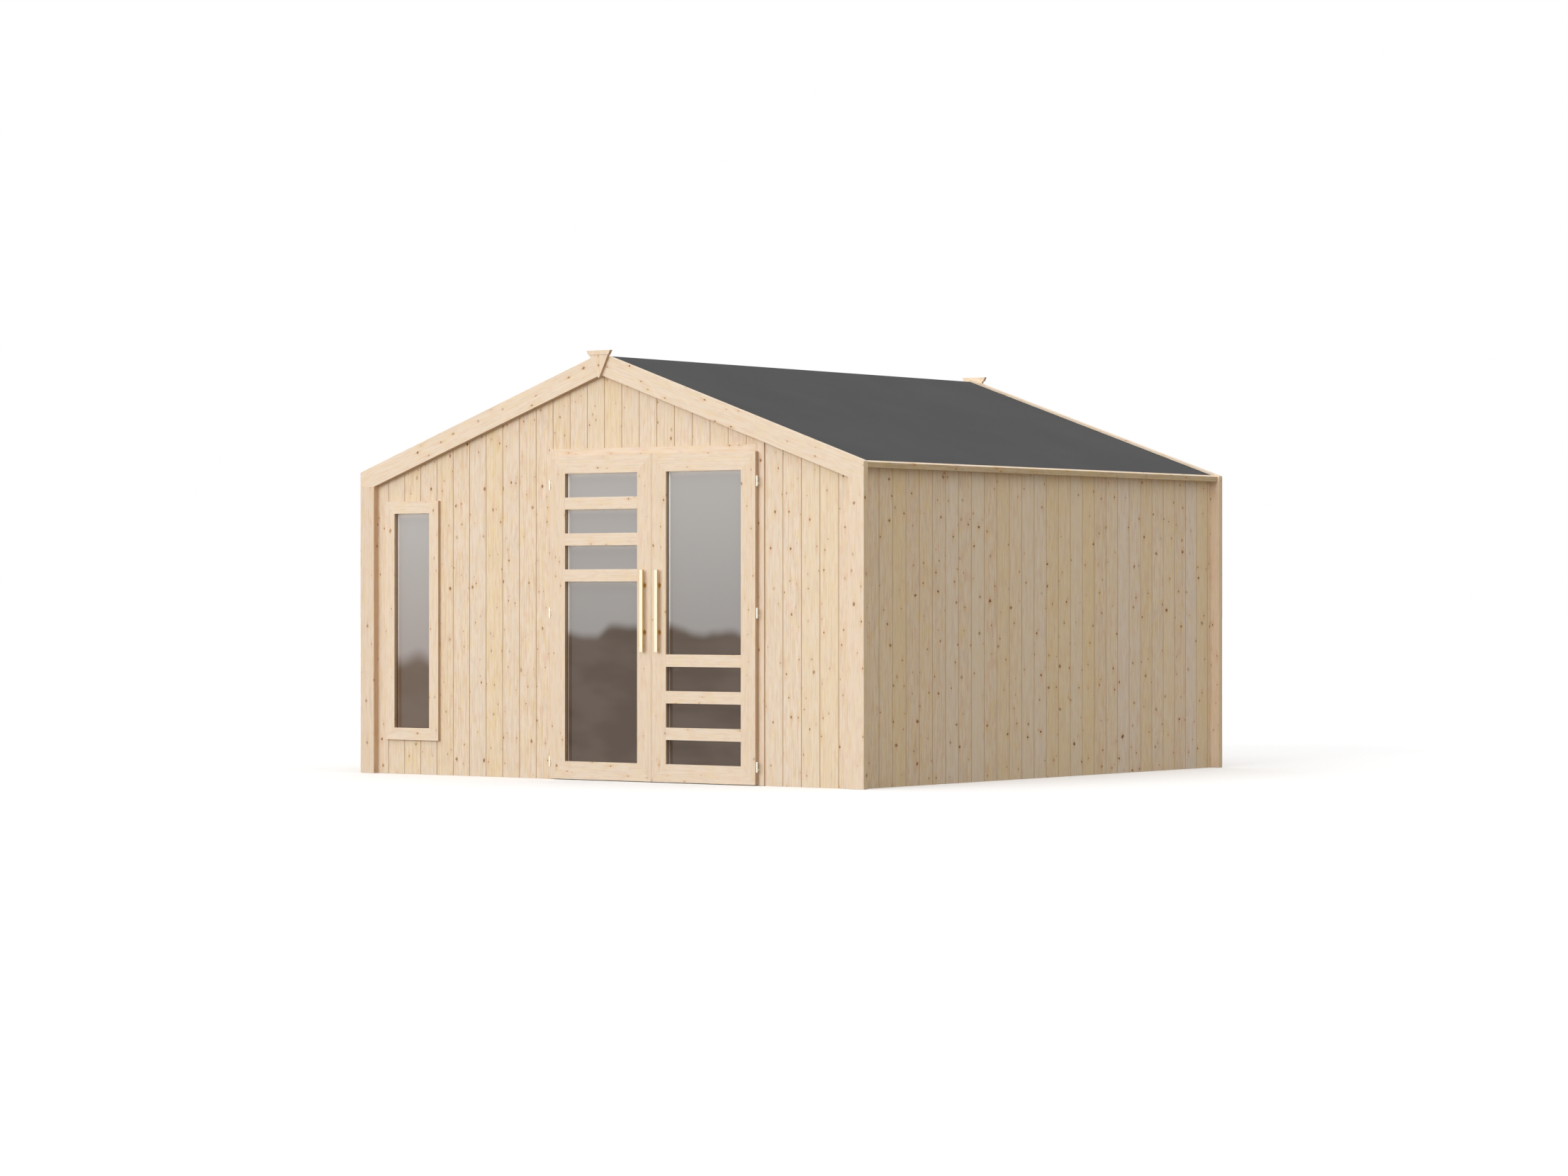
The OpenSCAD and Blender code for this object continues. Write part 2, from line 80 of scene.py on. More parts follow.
camera = bpy.data.objects.new("camera", bpy.data.cameras.new("camera"))
bpy.context.scene.collection.objects.link(camera)
camera.location = CAMERA_PLACE
camera.rotation_euler = (LEVEL, 0, TURN)
camera.data.lens = LENS
camera.data.sensor_width = SENSOR
camera.data.shift_y = SHIFT_UP
camera.data.clip_end = FARTHEST_SEEN
bpy.context.scene.camera = camera
print("camera", [round(v, 3) for v in camera.location], "lens", camera.data.lens)

# %% [markdown]
# Small helpers come first. `on_its_own` leaves one object selected and active, because Blender's
# operators act on whatever is selected. `sheet_of` copies a node of the model into a new object and
# merges its corners, so that it can be cut and softened while the model itself stays untouched.
# `stands_for` then puts the copy in the node's place: it rides the same body, and the node is hidden.
# `dress` gives a piece one finish all over.

# %% Helpers for picking up and copying pieces
SAME_POINT = 0.00002     # corners nearer than this, in metres, are one corner
SAME_PLANE = 0.002       # faces that turn by less than this, in radians, are one face


def on_its_own(piece):
    bpy.ops.object.select_all(action="DESELECT")
    piece.select_set(True)
    bpy.context.view_layer.objects.active = piece


def sheet_of(node_name, piece_name):
    piece = bpy.data.objects.new(piece_name, nodes[node_name].data.copy())
    bpy.context.scene.collection.objects.link(piece)
    on_its_own(piece)
    bpy.ops.object.mode_set(mode="EDIT")
    bpy.ops.mesh.select_all(action="SELECT")
    bpy.ops.mesh.remove_doubles(threshold=SAME_POINT)
    bpy.ops.mesh.normals_make_consistent(inside=False)
    bpy.ops.mesh.dissolve_limited(angle_limit=SAME_PLANE)
    bpy.ops.object.mode_set(mode="OBJECT")
    return piece


def stands_for(piece, node_name):
    body = nodes[node_name]["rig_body"]
    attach(piece, body)
    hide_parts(node_name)
    print(piece.name, "stands for", node_name, "with", len(piece.data.polygons), "faces")


def dress(piece, finish):
    piece.data.materials.clear()
    piece.data.materials.append(finish)
    for face in piece.data.polygons:
        face.material_index = 0


# %% [markdown]
# A finish is a small network of nodes, and a few helpers keep the networks readable. `tone` turns a
# colour as a screen shows it into the linear light that a finish is mixed in. `add` makes a node and
# plugs values or other nodes into it, and `sum_up` does one piece of arithmetic. `ramp` turns one
# range of values into another, `falling` dies away from 1 as its value grows below 0, and
# `blend_colour` lays one colour over another.

# %% Helpers for building finishes
WHITE = (1.0, 1.0, 1.0, 1.0)
NATURAL = 2.718          # the base of natural growth and decay


def tone(red, green, blue):
    shares = [channel / 255 for channel in (red, green, blue)]
    linear = [share / 12.92 if share <= 0.04045 else ((share + 0.055) / 1.055) ** 2.4 for share in shares]
    return tuple(linear) + (1.0,)


def add(tree, kind, inputs=None, **settings):
    made = tree.nodes.new("ShaderNode" + kind)
    for name, value in settings.items():
        setattr(made, name, value)
    for name, value in (inputs or {}).items():
        if isinstance(value, bpy.types.NodeSocket):
            tree.links.new(value, made.inputs[name])
        else:
            made.inputs[name].default_value = value
    return made


def sum_up(tree, operation, *values):
    made = tree.nodes.new("ShaderNodeMath")
    made.operation = operation
    for place, value in enumerate(values):
        if isinstance(value, bpy.types.NodeSocket):
            tree.links.new(value, made.inputs[place])
        else:
            made.inputs[place].default_value = value
    return made.outputs[0]


def ramp(tree, value, low, high, out_low=0.0, out_high=1.0, smooth=True):
    made = add(tree, "MapRange", {"Value": value, "From Min": low, "From Max": high,
                                  "To Min": out_low, "To Max": out_high},
               interpolation_type="SMOOTHSTEP" if smooth else "LINEAR")
    return made.outputs["Result"]


def falling(tree, value):
    return sum_up(tree, "POWER", NATURAL, value)


def blend_colour(tree, share, first, second, mode="MIX"):
    made = tree.nodes.new("ShaderNodeMix")
    made.data_type = "RGBA"
    made.blend_type = mode
    for socket, value in ((made.inputs[0], share), (made.inputs[6], first), (made.inputs[7], second)):
        if isinstance(value, bpy.types.NodeSocket):
            tree.links.new(value, socket)
        else:
            socket.default_value = value
    return made.outputs[2]


def new_finish(name):
    finish = bpy.data.materials.new(name)
    finish.use_nodes = True
    tree = finish.node_tree
    shader = tree.nodes["Principled BSDF"]
    return finish, tree, shader


print("a grey of 128 on the screen is", round(tone(128, 128, 128)[0], 3), "of the light")

# %% [markdown]
# ## Pine
# Planed pine is pale cream. Along its length run fine darker lines and broad streaks that lean to
# yellow, to pink or to grey, and small brown knots sit among them, which the lines flow round. A
# finish could be one picture of wood stretched over everything, but it would repeat and would run the
# wrong way on half of the pieces. Here it is worked out from the place in the wood instead: `across`
# and `along` are read from the grain direction of the piece, and the thickness is added to `across`,
# so that a line on the face carries on round the edge.
#
# The tables hold the colours and the layers. Each row of STREAKS is one layer: how wide and how long
# a streak is, in metres, where its noise starts and how finely it breaks up, from which level to
# which it fades in, how much it covers, and its colour. The year lines and the broader lines between
# them are given the same way, and both take the colour of late wood. Each row of TINTS says which
# random number of a board tints it, from which value on, how much, and with what.

# %% Colours and layers of pine
PALE = tone(247, 228, 206)
LATE = tone(214, 180, 135)
HONEY = tone(243, 217, 163)
ROSE = tone(240, 208, 184)
ASH = tone(229, 216, 201)
SILVER = tone(240, 230, 220)
GLOW = tone(230, 184, 130)
KNOT = tone(150, 96, 10)
HEART = tone(98, 58, 6)
JOINT = tone(208, 179, 143)

STREAKS = (
    (0.028, 0.12, 5.0, 3.0, 0.46, 0.70, 0.70, HONEY),
    (0.060, 0.30, 71.0, 2.0, 0.46, 0.72, 0.20, HONEY),
    (0.022, 0.10, 17.0, 3.0, 0.50, 0.70, 0.98, ROSE),
    (0.030, 0.16, 29.0, 3.0, 0.50, 0.70, 0.48, ASH),
)
YEAR_LINES, YEAR_SHOWN, YEAR_SHARE = (0.0065, 0.34, 0.0, 3.0), (0.42, 0.74), 0.46
BROAD_LINES, BROAD_SHOWN, BROAD_SHARE = (0.012, 0.085, 43.0, 3.0), (0.50, 0.80), 0.40
TINTS = (("Red", 0.0, 0.07, LATE), ("Green", 0.3, 0.30, HONEY), ("Blue", 0.2, 0.22, SILVER))
print("pine has", len(STREAKS), "layers of streaks and", len(TINTS), "tints for its boards")


# %% [markdown]
# A knot is where a branch grew. A Voronoi texture scatters points, and each point becomes a knot with
# its own size and strength. The distance to the point draws the knot, and its two parts, across
# and along, bend the lines away from it and tint the wood above and below. Distances are in steps of
# the scatter, of which `apart` says how many fit in a metre. Random numbers are raised to a power, so
# that small and faint knots are common and large dark ones rare.

# %% Where the knots are
SMALLEST, GROWN = 0.042, 0.060     # radius of the smallest knot, and what the largest has more
FAINTEST = 0.30                    # strength of the palest knot; the darkest has 1
RARE_LARGE, RARE_DARK = 3.0, 1.6   # powers that make large knots rare, and dark ones
OUTLINE = (0.70, 1.30)             # how far its outline wanders in and out
WANDERS = 8.0                      # how often it does so in one step


def knots_at(tree, across, along, amount, clear, apart):
    step_x = sum_up(tree, "MULTIPLY", across, apart[0])
    step_y = sum_up(tree, "MULTIPLY", along, apart[1])
    spot = add(tree, "CombineXYZ", {"X": step_x, "Y": step_y}).outputs[0]
    branch = add(tree, "TexVoronoi", {"Vector": spot, "Scale": 1.0}, voronoi_dimensions="2D")
    chance = add(tree, "SeparateColor", {"Color": branch.outputs["Color"]})
    off = add(tree, "VectorMath", {0: spot, 1: branch.outputs["Position"]}, operation="SUBTRACT")
    part = add(tree, "SeparateXYZ", {"Vector": off.outputs[0]})
    big = sum_up(tree, "POWER", chance.outputs["Red"], RARE_LARGE)
    radius = sum_up(tree, "MULTIPLY_ADD", big, GROWN * amount, SMALLEST * amount)
    wobble = add(tree, "TexNoise", {"Vector": spot, "Scale": WANDERS, "Detail": 1.0}, noise_dimensions="2D")
    wander = ramp(tree, wobble.outputs["Fac"], 0.25, 0.75, *OUTLINE, smooth=False)
    near = sum_up(tree, "DIVIDE", branch.outputs["Distance"], radius)
    near = sum_up(tree, "MULTIPLY", near, wander)
    strong = sum_up(tree, "POWER", chance.outputs["Green"], RARE_DARK)
    strength = sum_up(tree, "MULTIPLY_ADD", strong, 1.0 - FAINTEST, FAINTEST)
    grown = sum_up(tree, "GREATER_THAN", chance.outputs["Blue"], clear)
    strength = sum_up(tree, "MULTIPLY", strength, grown)
    return near, strength, part.outputs["X"], part.outputs["Y"], branch.outputs["Distance"]


# %% [markdown]
# The wood's lines are noises drawn out along the grain, laid over each other like thin glazes. They
# could be rings round a middle, as in a log, but a board's face cuts the rings so flatly that they
# show as long streaks, and streaks are simpler to steer. `flow` is the place across the grain after
# the knots have pushed it aside, so that every layer bends round the same knots.

# %% Streaks and year lines
def streaked(tree, flow, along, lively, hues):
    def streaks(width, length, start, detail):
        at = add(tree, "CombineXYZ", {"X": sum_up(tree, "MULTIPLY_ADD", flow, 1 / width, start),
                                      "Y": sum_up(tree, "MULTIPLY", along, 1 / length)}).outputs[0]
        return add(tree, "TexNoise", {"Vector": at, "Scale": 1.0, "Detail": detail, "Roughness": 0.55},
                   noise_dimensions="2D").outputs["Fac"]

    colour = PALE
    for width, length, start, detail, low, high, share, layer in STREAKS:
        shown = ramp(tree, streaks(width, length, start, detail), low, high, 0.0, share * hues)
        colour = blend_colour(tree, shown, colour, layer)
    lines = streaks(*YEAR_LINES)
    colour = blend_colour(tree, ramp(tree, lines, *YEAR_SHOWN, 0.0, YEAR_SHARE * lively), colour, LATE)
    broad = ramp(tree, streaks(*BROAD_LINES), *BROAD_SHOWN, 0.0, BROAD_SHARE * lively)
    return blend_colour(tree, broad, colour, LATE), lines


# %% [markdown]
# A knot shows as three things laid over each other: a warm glow that runs up and down the grain, the
# brown knot with a soft rim, and a dark heart where the knot is a strong one.

# %% Glow, knot and heart
GLOW_SHARE, GLOW_ACROSS, GLOW_ALONG = 0.75, -160.0, -14.0     # strength, and how fast it fades
KNOT_RIM = (1.35, 0.75)            # where a knot begins and is full, in its own radius
HEART_RIM = (0.95, 0.35)           # the same for its dark heart


def knotted(tree, colour, near, strength, aside, above):
    far = sum_up(tree, "ADD", sum_up(tree, "MULTIPLY", sum_up(tree, "POWER", aside, 2.0), GLOW_ACROSS),
                 sum_up(tree, "MULTIPLY", sum_up(tree, "POWER", above, 2.0), GLOW_ALONG))
    glow = sum_up(tree, "MULTIPLY", falling(tree, far), sum_up(tree, "MULTIPLY", strength, GLOW_SHARE))
    knot = sum_up(tree, "MULTIPLY", ramp(tree, near, *KNOT_RIM), strength)
    heart = sum_up(tree, "MULTIPLY", ramp(tree, near, *HEART_RIM), sum_up(tree, "POWER", strength, 2.0))
    for share, layer in ((glow, GLOW), (knot, KNOT), (heart, HEART)):
        colour = blend_colour(tree, share, colour, layer)
    return colour


# %% [markdown]
# The boards of a wall come from different trees. `boards_at` counts them along the wall and draws
# random numbers from the count: one will move a board's pattern far away, three more will tint it.
# What is left over from the count says how near a joint is, and gives the brown line that lies in it.

# %% One board after another
JOINT_RIM = (0.0034, 0.0018)       # where the brown line begins and is full, in metres from the joint


def boards_at(tree, side, first, width, seed):
    count = sum_up(tree, "DIVIDE", sum_up(tree, "SUBTRACT", side, first), width)
    board = sum_up(tree, "ADD", sum_up(tree, "FLOOR", count), seed)
    chance = add(tree, "TexWhiteNoise", {"W": board}, noise_dimensions="1D")
    tint = add(tree, "SeparateColor", {"Color": chance.outputs["Color"]})
    edge = sum_up(tree, "FRACT", count)
    edge = sum_up(tree, "MINIMUM", edge, sum_up(tree, "SUBTRACT", 1.0, edge))
    joint = ramp(tree, sum_up(tree, "MULTIPLY", edge, width), *JOINT_RIM)
    return chance.outputs["Value"], tint, joint


# %% [markdown]
# `pine` puts it together: it reads the place in the wood by the direction of the grain, counts the
# boards if there are any, lets the knots bend the lines, and lays colour upon colour. The knots come
# after the tints, so that no tint pales them, and the joints come last.

# %% Pine with a chosen grain direction
BEND, BEND_FADE = -0.085, -45.0            # how far a knot pushes the lines aside, how fast that fades
OTHER_TREE = (40.0, 23.0)                  # how far off in the pattern a board may start, in metres
LINE_STRENGTH, LINE_DEPTH = 0.10, 0.0006   # relief of the year lines
ORDER = {"X": ("Z", "Y", "X"), "Y": ("X", "Z", "Y"), "Z": ("X", "Y", "Z")}
ALONG_A_SIDE_WALL = ("Y", "X", "Z")


def pine(name, grain, slope=0.0, boards=None, knots=1.0, seed=0.0, rough=0.6, stain=None,
         lively=1.0, hues=1.0, clear=0.0, apart=(11.5, 9.0), bold=1.0, tints=1.0):
    """grain: axis of the wood's length; slope: its tip about Y; boards: (axis, first joint, width);
    lively: how strongly the lines show; hues: how strongly the colours change; clear: share of knots
    that a carpenter has sorted out; apart: how many knots fit in a metre, across and along;
    bold: how dark they are; tints: how much the boards differ from each other."""
    finish, tree, shader = new_finish(name)
    place = add(tree, "TexCoord").outputs["Object"]
    if slope:
        place = add(tree, "Mapping", {"Vector": place, "Rotation": (0, slope, 0)}).outputs[0]
    split = add(tree, "SeparateXYZ", {"Vector": place})
    order = ALONG_A_SIDE_WALL if boards and boards[0] == "Y" else ORDER[grain]
    side, deep, along = (split.outputs[axis] for axis in order)
    across = sum_up(tree, "ADD", sum_up(tree, "ADD", side, deep), seed)
    if boards:
        tree_no, tree_tint, joint = boards_at(tree, side, boards[1], boards[2], seed)
        across = sum_up(tree, "MULTIPLY_ADD", tree_no, OTHER_TREE[0], across)
        along = sum_up(tree, "MULTIPLY_ADD", tree_no, OTHER_TREE[1], along)
    near, strength, aside, above, reach = knots_at(tree, across, along, knots, clear, apart)
    strength = sum_up(tree, "MULTIPLY", strength, bold)
    fade = falling(tree, sum_up(tree, "MULTIPLY", sum_up(tree, "POWER", reach, 2.0), BEND_FADE))
    bend = sum_up(tree, "MULTIPLY", strength, BEND)
    push = sum_up(tree, "MULTIPLY", sum_up(tree, "MULTIPLY", aside, fade), bend)
    flow = sum_up(tree, "ADD", across, push)
    colour, lines = streaked(tree, flow, along, lively, hues)
    if boards:
        for channel, low, share, tint in TINTS:
            shown = ramp(tree, tree_tint.outputs[channel], low, 1.0, 0.0, share * tints, smooth=False)
            colour = blend_colour(tree, shown, colour, tint)
    colour = knotted(tree, colour, near, strength, aside, above)
    if boards:
        colour = blend_colour(tree, joint, colour, JOINT)
    if stain:
        colour = blend_colour(tree, 1.0, colour, stain + (1.0,), mode="MULTIPLY")
    tree.links.new(colour, shader.inputs["Base Color"])
    shader.inputs["Roughness"].default_value = rough
    bump = add(tree, "Bump", {"Strength": LINE_STRENGTH, "Distance": LINE_DEPTH, "Height": lines})
    tree.links.new(bump.outputs["Normal"], shader.inputs["Normal"])
    print("finish", name, "grain", grain, "with", len(tree.nodes), "nodes")
    return finish


# %% [markdown]
# ## The boarded walls
# The walls are matchboard: narrow boards, tongued into each other, whose long edges are planed off to
# a small V. In the model each wall is one plain sheet. It could be rebuilt from a hundred single
# boards, but then each would need cutting round the window and under the roof again. Ploughing the
# joints into the sheet is simpler and keeps every outline. The plough is a long bar that
# stands on edge: where it bites into the face, it leaves a V.

# %% The joints' places
FRONT_FACE, REAR_FACE, SIDE_FACE = -1.785, 1.795, 1.747
WALL_THICKNESS = 0.016
FRONT_PITCH, SIDE_PITCH = 0.12396, 0.12445
FRONT_FIRST, SIDE_FIRST = -1.6149, -1.6100
JOINTS = 28
BAR_MIDDLE, BAR_LENGTH = 1.2, 2.6
OUTER_WIDTH, INNER_WIDTH, PLOUGH_DEPTH = 0.0050, 0.0030, 0.0030


def plough(name, across, first, pitch, count, face, width, depth):
    """A row of upright bars on edge, one to each joint, standing in the face of a wall."""
    reach = width / 2
    where = [0, 0, BAR_MIDDLE]
    where[0 if across == "X" else 1] = first
    where[1 if across == "X" else 0] = face
    bpy.ops.object.select_all(action="DESELECT")
    bpy.ops.mesh.primitive_cylinder_add(vertices=4, radius=reach, depth=BAR_LENGTH, location=where)
    bar = bpy.context.active_object
    bar.name = name
    bpy.ops.object.transform_apply(location=False, rotation=True, scale=True)
    stretch = (1, depth / reach, 1) if across == "X" else (depth / reach, 1, 1)
    bpy.ops.object.mode_set(mode="EDIT")
    bpy.ops.mesh.select_all(action="SELECT")
    bpy.ops.transform.resize(value=stretch, center_override=where)
    bpy.ops.object.mode_set(mode="OBJECT")
    row = bar.modifiers.new("row", "ARRAY")
    row.count = count
    row.use_relative_offset = False
    row.use_constant_offset = True
    row.constant_offset_displace = (pitch, 0, 0) if across == "X" else (0, pitch, 0)
    bpy.ops.object.modifier_apply(modifier=row.name)
    return bar


def cut(piece, tool):
    on_its_own(piece)
    bite = piece.modifiers.new("cut", "BOOLEAN")
    bite.operation = "DIFFERENCE"
    bite.solver = "EXACT"
    bite.object = tool
    bpy.ops.object.modifier_apply(modifier=bite.name)


def put_away(tool):
    bpy.data.objects.remove(tool, do_unlink=True)


print("boards are", FRONT_PITCH, "m wide in front and", SIDE_PITCH, "m at the sides")


# %% [markdown]
# Each wall gets a row of bars outside and a finer row inside, where the boards hardly open. A boolean
# cut takes the bars out of the wall, and the bars are thrown away. The side walls weather more than
# the front, so their boards are greyer and differ more from each other. Their knots are broader.

# %% Plough the six walls
front_boards = pine("pine_front_boards", "Z", boards=("X", FRONT_FIRST, FRONT_PITCH), seed=3.0,
                    hues=0.8, knots=0.9, clear=0.25, bold=0.85)
side_boards = pine("pine_side_boards", "Z", boards=("Y", SIDE_FIRST, SIDE_PITCH), seed=41.0,
                   lively=1.15, hues=1.1, knots=0.87, clear=0.15, apart=(7.0, 9.0), bold=0.97,
                   tints=1.7, stain=(0.975, 0.965, 0.93))

walls = {
    "front_wall_left": ("X", FRONT_FACE, -1), "front_wall_right": ("X", FRONT_FACE, -1),
    "front_wall_gable": ("X", FRONT_FACE, -1), "rear_wall": ("X", REAR_FACE, 1),
    "left_wall": ("Y", -SIDE_FACE, -1), "right_wall": ("Y", SIDE_FACE, 1),
}
for wall, (across, face, outward) in walls.items():
    first, pitch = (FRONT_FIRST, FRONT_PITCH) if across == "X" else (SIDE_FIRST, SIDE_PITCH)
    boarding = sheet_of(wall, wall + "_boards")
    for tool_name, level, width in (("outer_plough", face, OUTER_WIDTH),
                                    ("inner_plough", face - outward * WALL_THICKNESS, INNER_WIDTH)):
        tool = plough(tool_name, across, first, pitch, JOINTS, level, width, PLOUGH_DEPTH)
        cut(boarding, tool)
        put_away(tool)
    dress(boarding, front_boards if across == "X" else side_boards)
    stands_for(boarding, wall)

# %% [markdown]
# ## Trim with softened edges
# Planed trim never leaves the bench with knife-sharp edges: a pass of sandpaper takes them off, and
# that thin rounded edge is what catches the light. Each trim piece is copied from the model, and
# its edges are rounded by a little over half a millimetre with a bevel. Weighted normals then let the
# broad faces stay flat to the eye and only the rounding shine. Where two pieces meet in a mitre, the
# edges are left sharp: a joiner glues the mitre first and sands over it, and the joint all but
# vanishes. A weight on each edge tells the bevel which ones to round.

# %% Softening helper
ROUNDING = 0.0006                  # what sandpaper takes off an edge, in metres
SHARP_ANGLE = math.radians(30)     # faces that turn by more than this meet in an edge worth rounding
SQUARE, MOSTLY, SLANTED = 0.9, 0.7, 0.5     # how much of a face's direction lies along an axis


def edge_weights(piece, is_glued):
    sides = {}
    for face in piece.data.polygons:
        for key in face.edge_keys:
            sides.setdefault(key, []).append(face)
    weight = piece.data.attributes.new("bevel_weight_edge", "FLOAT", "EDGE")
    for line in piece.data.edges:
        faces = sides[line.key]
        sharp = len(faces) == 2 and faces[0].normal.angle(faces[1].normal) > SHARP_ANGLE
        glued = any(is_glued(face.center, face.normal) for face in faces)
        weight.data[line.index].value = 1.0 if sharp and not glued else 0.0
        line.use_edge_sharp = sharp and glued


def nothing_glued(at, way):
    return False


def mitre(at, way):
    return abs(way.x) > SLANTED and abs(way.z) > SLANTED


def soften(node_name, finish, width=ROUNDING, steps=2, glued=nothing_glued, shape=None):
    piece = sheet_of(node_name, node_name + "_planed")
    if shape:
        shape(piece)
    on_its_own(piece)
    bpy.ops.object.shade_smooth()
    edge_weights(piece, glued)
    edge = piece.modifiers.new("soft edges", "BEVEL")
    edge.width = width
    edge.segments = steps
    edge.limit_method = "WEIGHT"
    bpy.ops.object.modifier_apply(modifier=edge.name)
    flat = piece.modifiers.new("flat faces", "WEIGHTED_NORMAL")
    flat.keep_sharp = True
    bpy.ops.object.modifier_apply(modifier=flat.name)
    dress(piece, finish)
    stands_for(piece, node_name)
    return piece


# %% [markdown]
# The narrow sides of the trim that face away from the sun or downward take a browner copy of the
# pine: painted shade. The helper gives a second finish to the faces that a small test picks out, by
# where they lie and which way they look.

# %% A second finish on some faces
def finish_where(piece, finish, is_there):
    piece.data.materials.append(finish)
    picked = 0
    for face in piece.data.polygons:
        if is_there(face.center, face.normal):
            face.material_index = len(piece.data.materials) - 1
            picked += 1
    print(piece.name, "wears", finish.name, "on", picked, "faces")


# %% [markdown]
# The trims share one planed pine: calmer lines, fewer colours and paler knots than the boards,
# because a joiner picks clear wood for them. A stain is what the base colour is multiplied by. The
# strong stains paint shade: they make the narrow sides brown, and the sides that the roof or a
# neighbour shades a little less so.

# %% Trim finishes, one for each direction of grain
PITCH = math.atan(0.35)            # the roof rises 35 mm in 100 mm
PLANED = {"lively": 0.5, "hues": 0.42, "clear": 0.5, "bold": 0.8}
UPRIGHT = {"grain": "Z", "seed": 7.3, "knots": 0.9, **PLANED}
LEVEL_TRIM = {"grain": "X", "seed": 11.9, "knots": 0.9, **PLANED}
LEFT_SLOPE = {"grain": "X", "slope": PITCH, "seed": 23.7, **PLANED}
RIGHT_SLOPE = {"grain": "X", "slope": -PITCH, "seed": 29.3, **PLANED}
EAVES = {"grain": "Y", "seed": 5.1, "knots": 0.7}
# painted shade: the brown sides, the corners' shaded inner sides and the outer sides in half shade
SIDE_SHADE_STAIN = (0.64, 0.54, 0.44)
SHADED_SIDE = (0.82, 0.70, 0.58)
OUTER_SHADE_STAIN = (0.88, 0.83, 0.70)

upright_pine = pine("pine_upright_trim", stain=(0.985, 0.975, 0.965), **UPRIGHT)
upright_side = pine("pine_upright_trim_side", stain=SIDE_SHADE_STAIN, **UPRIGHT)
corner_side = pine("pine_corner_side", stain=SHADED_SIDE, **UPRIGHT)
outer_side = pine("pine_outer_side", stain=OUTER_SHADE_STAIN, **UPRIGHT)
left_corner = pine("pine_left_corner", stain=(0.93, 0.915, 0.905), **UPRIGHT)
level_pine = pine("pine_level_trim", **LEVEL_TRIM)
level_side = pine("pine_level_trim_side", stain=SIDE_SHADE_STAIN, **LEVEL_TRIM)
left_slope_pine = pine("pine_left_barge", **LEFT_SLOPE)
left_slope_side = pine("pine_left_barge_side", stain=SIDE_SHADE_STAIN, **LEFT_SLOPE)
right_slope_pine = pine("pine_right_barge", **RIGHT_SLOPE)
right_slope_side = pine("pine_right_barge_side", stain=SIDE_SHADE_STAIN, **RIGHT_SLOPE)
eaves_pine = pine("pine_eaves_trim", **EAVES)
# painted shade: the batten's faces below its top; the lit top keeps the plain pine
eaves_shaded_faces = pine("pine_eaves_trim_shaded_faces", stain=(0.655, 0.61, 0.475), **EAVES)

# %% [markdown]
# The barge boards and the corner boards end flush at the eaves, and from the side they read as one
# upright post. So the cut end of a barge board takes the upright grain too. Below its topmost few
# millimetres the end takes a darker copy of the pine, painted shade. The top strip keeps the pale
# pine, a painted highlight in line with the lit top of the batten that runs along the eaves: a bisect
# scores the end at that height, so that the two tones can lie above and below the score.

# %% Corner boards, barge boards, battens and finials
SEAT, SCORE = 1.6559, 1.7325       # heights of the barge boards' seats and of the score
OUTSIDE = 1.75                     # sides farther out than this belong to the outside of the shed


def faces_in(at, way):
    return abs(way.x) > SQUARE and abs(at.x) < OUTSIDE


def faces_out(at, way):
    return abs(way.x) > SQUARE and abs(at.x) > OUTSIDE


def scarf(at, way):
    return abs(way.z) > SQUARE and abs(at.z - SEAT) < 0.001


def score_ends(piece):
    on_its_own(piece)
    bpy.ops.object.mode_set(mode="EDIT")
    bpy.ops.mesh.select_all(action="DESELECT")
    mesh = bmesh.from_edit_mesh(piece.data)
    for face in mesh.faces:
        if faces_out(face.calc_center_median(), face.normal):
            face.select_set(True)
    bmesh.update_edit_mesh(piece.data)
    bpy.ops.mesh.bisect(plane_co=(0, 0, SCORE), plane_no=(0, 0, 1))
    bpy.ops.object.mode_set(mode="OBJECT")
    print(piece.name, "scored at the eaves:", len(piece.data.polygons), "faces")


corners = soften("corner_boards", upright_pine, glued=scarf)
# painted shade: the corners' inner sides and outer sides take darker copies of the pine
finish_where(corners, corner_side, faces_in)
finish_where(corners, outer_side, faces_out)
finish_where(corners, left_corner, lambda at, way: at.x < 0 and abs(way.y) > SQUARE)
for side, planed, underside_shade in (("left", left_slope_pine, left_slope_side),
                           ("right", right_slope_pine, right_slope_side)):
    barge = soften("barge_boards_" + side, planed, glued=scarf, shape=score_ends)
    # painted shade on the undersides and, below the score, on the outer ends; above the score a painted
    # highlight
    finish_where(barge, underside_shade, lambda at, way: way.z < -SLANTED)
    finish_where(barge, outer_side, lambda at, way: faces_out(at, way) and at.z < SCORE)
battens = soften("eaves_battens", eaves_pine)
# painted shade on every face of the batten but its top
finish_where(battens, eaves_shaded_faces, lambda at, way: way.z < SLANTED)
finials = soften("finials", upright_pine)
# painted shade on the finials' sides and undersides
finish_where(finials, upright_side, lambda at, way: abs(way.y) < SLANTED and way.z < SLANTED)

# %% [markdown]
# The frames of the window and the doors are mitred: stiles and rails meet on a slant in the corner,
# and the grain turns there. The pieces are already cut so in the model, and each takes the finish
# that runs its own way.

# %% Window and door frames
POST_ROUNDING = 0.0025             # the posts' edges are worn rounder than the rest


def across_x(at, way):
    return abs(way.x) > MOSTLY


def across_z(at, way):
    return abs(way.z) > MOSTLY


